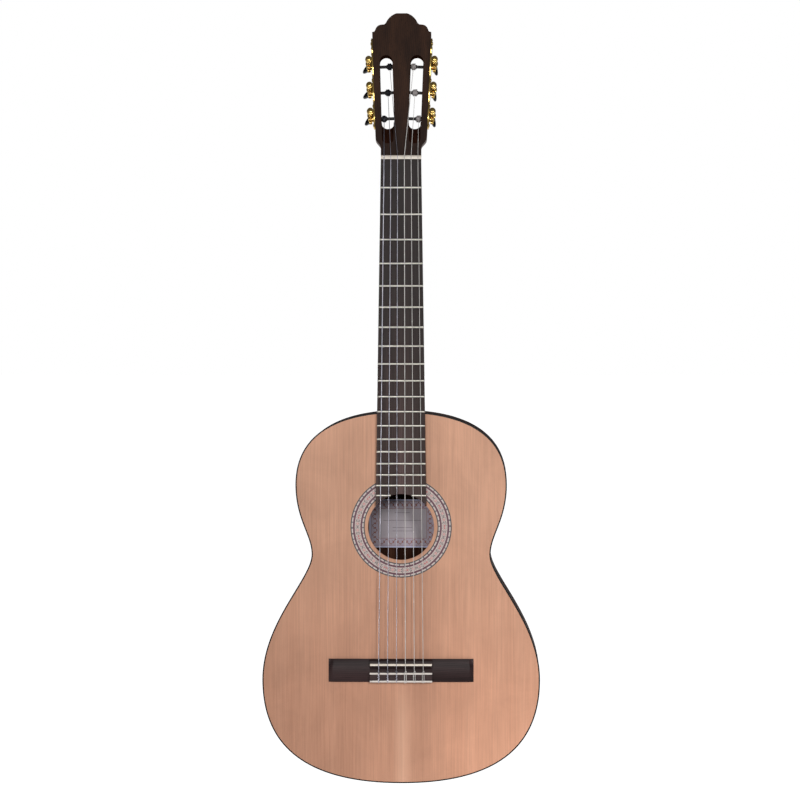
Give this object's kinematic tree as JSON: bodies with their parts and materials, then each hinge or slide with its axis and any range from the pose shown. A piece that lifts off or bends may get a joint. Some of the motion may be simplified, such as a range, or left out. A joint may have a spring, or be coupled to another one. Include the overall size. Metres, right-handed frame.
{
  "type": "classical guitar",
  "caption": "Full-size nylon-string classical guitar with a cedar soundboard, inlaid rosette, tied bridge and a slotted head with geared tuners.",
  "frame": {"origin": "middle of the flat on the end graft at the tail, on the centre line and halfway through the body's depth there", "axes": "+Z from the tail to the head's tip, +Y from the strings to the back, +X to the right of someone facing the strings"},
  "size_m": [0.3588, 0.1121, 0.9964],
  "materials": {
    "cedar": "satin cedar",
    "mahogany": "dark gloss mahogany",
    "rosewood": "oiled rosewood",
    "spruce": "bare spruce",
    "black_plastic": "polished black",
    "bone": "polished bone white",
    "gold": "gold plated",
    "nickel": "polished nickel silver",
    "dark_steel": "dark plated steel",
    "nylon": "clear nylon",
    "wound_silver": "silver-plated winding",
    "paper": "matt paper",
    "marquetry": "inlaid mosaic"
  },
  "bodies": {
    "instrument": {"back_binding": "black_plastic", "back_brace_lower": "spruce", "back_brace_middle": "spruce", "back_brace_upper": "spruce", "back_lining_left": "spruce", "back_lining_right": "spruce", "back_plate": "mahogany", "bridge": "rosewood", "end_graft": "rosewood", "fan_brace_1": "spruce", "fan_brace_2": "spruce", "fan_brace_3": "spruce", "fan_brace_4": "spruce", "fan_brace_5": "spruce", "fingerboard": "rosewood", "frets": "nickel", "harmonic_bar_lower": "spruce", "harmonic_bar_upper": "spruce", "headplate": "rosewood", "label": "paper", "neck": "mahogany", "neck_block": "mahogany", "nut": "bone", "rosette": "marquetry", "saddle": "bone", "side_left": "mahogany", "side_right": "mahogany", "soundboard": "cedar", "string_1": "nylon", "string_2": "nylon", "string_3": "nylon", "string_4": "wound_silver", "string_5": "wound_silver", "string_6": "wound_silver", "tail_block": "mahogany", "tie_inlay_front": "bone", "tie_inlay_rear": "bone", "top_binding": "black_plastic", "top_lining_left": "spruce", "top_lining_right": "spruce", "tuner_plate_left": "gold", "tuner_plate_right": "gold"},
    "machine_left_1": {"worm_left_1": "gold", "button_left_1": "black_plastic"},
    "post_left_1": {"roller_left_1": "dark_steel"},
    "machine_left_2": {"worm_left_2": "gold", "button_left_2": "black_plastic"},
    "post_left_2": {"roller_left_2": "dark_steel"},
    "machine_left_3": {"worm_left_3": "gold", "button_left_3": "black_plastic"},
    "post_left_3": {"roller_left_3": "dark_steel"},
    "machine_right_1": {"worm_right_1": "gold", "button_right_1": "black_plastic"},
    "post_right_1": {"roller_right_1": "dark_steel"},
    "machine_right_2": {"worm_right_2": "gold", "button_right_2": "black_plastic"},
    "post_right_2": {"roller_right_2": "dark_steel"},
    "machine_right_3": {"worm_right_3": "gold", "button_right_3": "black_plastic"},
    "post_right_3": {"roller_right_3": "dark_steel"}
  },
  "joints": [
    {"name": "button_left_1_turn", "type": "hinge", "parent": "instrument", "child": "machine_left_1", "pos_m": [-0.04254, -0.00996, 0.9332], "axis": [0, -0.9703, 0.2419], "continuous": true},
    {"name": "roller_left_1_turn", "type": "hinge", "parent": "instrument", "child": "post_left_1", "pos_m": [-0.03666, -0.01184, 0.92563], "axis": [-0.9993, -0.0088, -0.0352], "continuous": true},
    {"name": "button_left_2_turn", "type": "hinge", "parent": "instrument", "child": "machine_left_2", "pos_m": [-0.04127, -0.01842, 0.89926], "axis": [0, -0.9703, 0.2419], "continuous": true},
    {"name": "roller_left_2_turn", "type": "hinge", "parent": "instrument", "child": "post_left_2", "pos_m": [-0.03539, -0.02031, 0.8917], "axis": [-0.9993, -0.0088, -0.0352], "continuous": true},
    {"name": "button_left_3_turn", "type": "hinge", "parent": "instrument", "child": "machine_left_3", "pos_m": [-0.04, -0.02688, 0.86532], "axis": [0, -0.9703, 0.2419], "continuous": true},
    {"name": "roller_left_3_turn", "type": "hinge", "parent": "instrument", "child": "post_left_3", "pos_m": [-0.03412, -0.02877, 0.85776], "axis": [-0.9993, -0.0088, -0.0352], "continuous": true},
    {"name": "button_right_1_turn", "type": "hinge", "parent": "instrument", "child": "machine_right_1", "pos_m": [0.04254, -0.00996, 0.9332], "axis": [0, -0.9703, 0.2419], "continuous": true},
    {"name": "roller_right_1_turn", "type": "hinge", "parent": "instrument", "child": "post_right_1", "pos_m": [0.03666, -0.01184, 0.92563], "axis": [0.9993, -0.0088, -0.0352], "continuous": true},
    {"name": "button_right_2_turn", "type": "hinge", "parent": "instrument", "child": "machine_right_2", "pos_m": [0.04127, -0.01842, 0.89926], "axis": [0, -0.9703, 0.2419], "continuous": true},
    {"name": "roller_right_2_turn", "type": "hinge", "parent": "instrument", "child": "post_right_2", "pos_m": [0.03539, -0.02031, 0.8917], "axis": [0.9993, -0.0088, -0.0352], "continuous": true},
    {"name": "button_right_3_turn", "type": "hinge", "parent": "instrument", "child": "machine_right_3", "pos_m": [0.04, -0.02688, 0.86532], "axis": [0, -0.9703, 0.2419], "continuous": true},
    {"name": "roller_right_3_turn", "type": "hinge", "parent": "instrument", "child": "post_right_3", "pos_m": [0.03412, -0.02877, 0.85776], "axis": [0.9993, -0.0088, -0.0352], "continuous": true}
  ],
  "couplings": [
    {"joint": "roller_left_1_turn", "follows": "button_left_1_turn", "ratio": -0.0625},
    {"joint": "roller_left_2_turn", "follows": "button_left_2_turn", "ratio": -0.0625},
    {"joint": "roller_left_3_turn", "follows": "button_left_3_turn", "ratio": -0.0625},
    {"joint": "roller_right_1_turn", "follows": "button_right_1_turn", "ratio": -0.0625},
    {"joint": "roller_right_2_turn", "follows": "button_right_2_turn", "ratio": -0.0625},
    {"joint": "roller_right_3_turn", "follows": "button_right_3_turn", "ratio": -0.0625}
  ]
}
